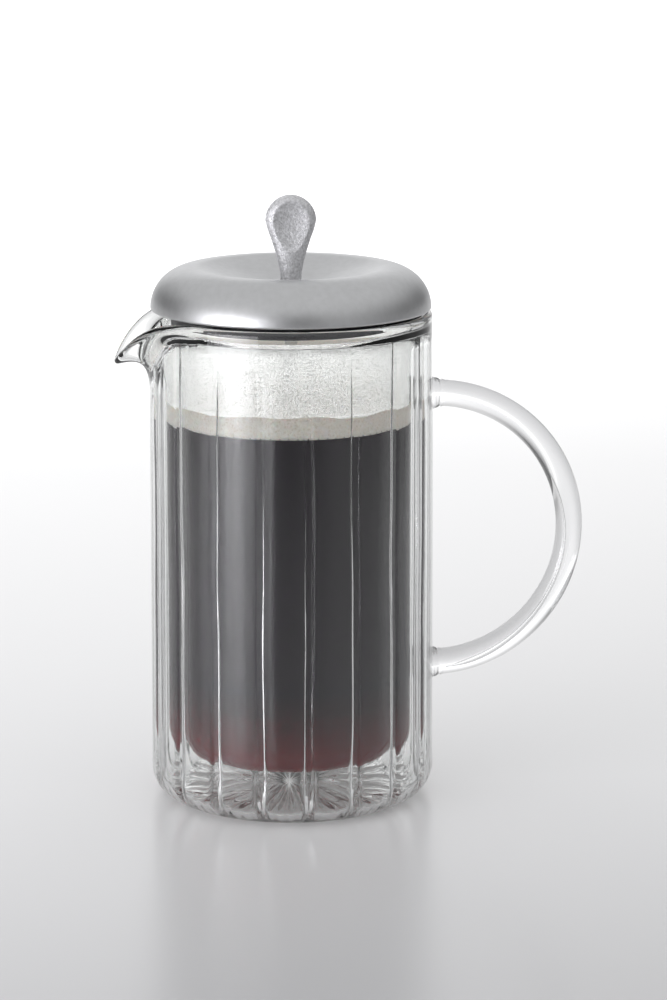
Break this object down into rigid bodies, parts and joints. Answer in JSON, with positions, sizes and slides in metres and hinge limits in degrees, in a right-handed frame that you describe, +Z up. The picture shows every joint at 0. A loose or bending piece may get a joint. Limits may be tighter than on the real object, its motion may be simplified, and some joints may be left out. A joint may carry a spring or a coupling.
{
  "type": "french press",
  "caption": "Double-wall ribbed glass french press with rod handle, drawn spout, domed metal lid, thumb-dished knob and spring-edged mesh plunger.",
  "frame": {"origin": "middle of the flat underside, on the vessel's axis", "axes": "+Z up along the vessel's axis, +X towards the handle, -X towards the spout, +Y by the right-hand rule"},
  "size_m": [0.166, 0.1008, 0.2145],
  "materials": {
    "clear_glass": "polished clear borosilicate glass",
    "seal_rubber": "soft silicone",
    "satin_metal": "fine satin, bead blasted",
    "cast_metal": "cast, tumbled texture",
    "dark_liner": "fine matte",
    "bush_plastic": "smooth",
    "bright_steel": "bright drawn steel",
    "spring_steel": "drawn spring wire",
    "mesh_steel": "fine woven wire"
  },
  "bodies": {
    "vessel": {"outer_wall": "clear_glass", "inner_beaker": "clear_glass", "pour_spout": "clear_glass", "vent_seal": "clear_glass", "glass_handle": "clear_glass", "handle_roots": "clear_glass"},
    "seal": {"lid_seal": "seal_rubber"},
    "lid": {"lid_cover": "satin_metal", "lid_liner": "dark_liner", "liner_screws": "bright_steel"},
    "bush": {"rod_bush": "bush_plastic", "bush_clip": "bright_steel"},
    "plunger": {"knob": "cast_metal", "knob_nut": "bright_steel", "plunger_rod": "bright_steel", "spring_plate": "bright_steel", "edge_spring": "spring_steel", "filter_mesh": "mesh_steel", "cross_plate": "bright_steel", "hub_washer": "bright_steel", "hub_nut": "bright_steel"}
  },
  "joints": [
    {"name": "lid_lift", "type": "slide", "parent": "vessel", "child": "seal", "axis": [0, 0, 1], "range_m": [0, 0.15]},
    {"name": "lid_turn", "type": "hinge", "parent": "seal", "child": "lid", "pos_m": [0, 0, 0.17], "axis": [0, 0, 1], "continuous": true},
    {"name": "plunger_spin", "type": "hinge", "parent": "lid", "child": "bush", "pos_m": [0, 0, 0.18], "axis": [0, 0, 1], "continuous": true},
    {"name": "plunger_press", "type": "slide", "parent": "bush", "child": "plunger", "axis": [0, 0, 1], "range_m": [0, 0.13]}
  ]
}
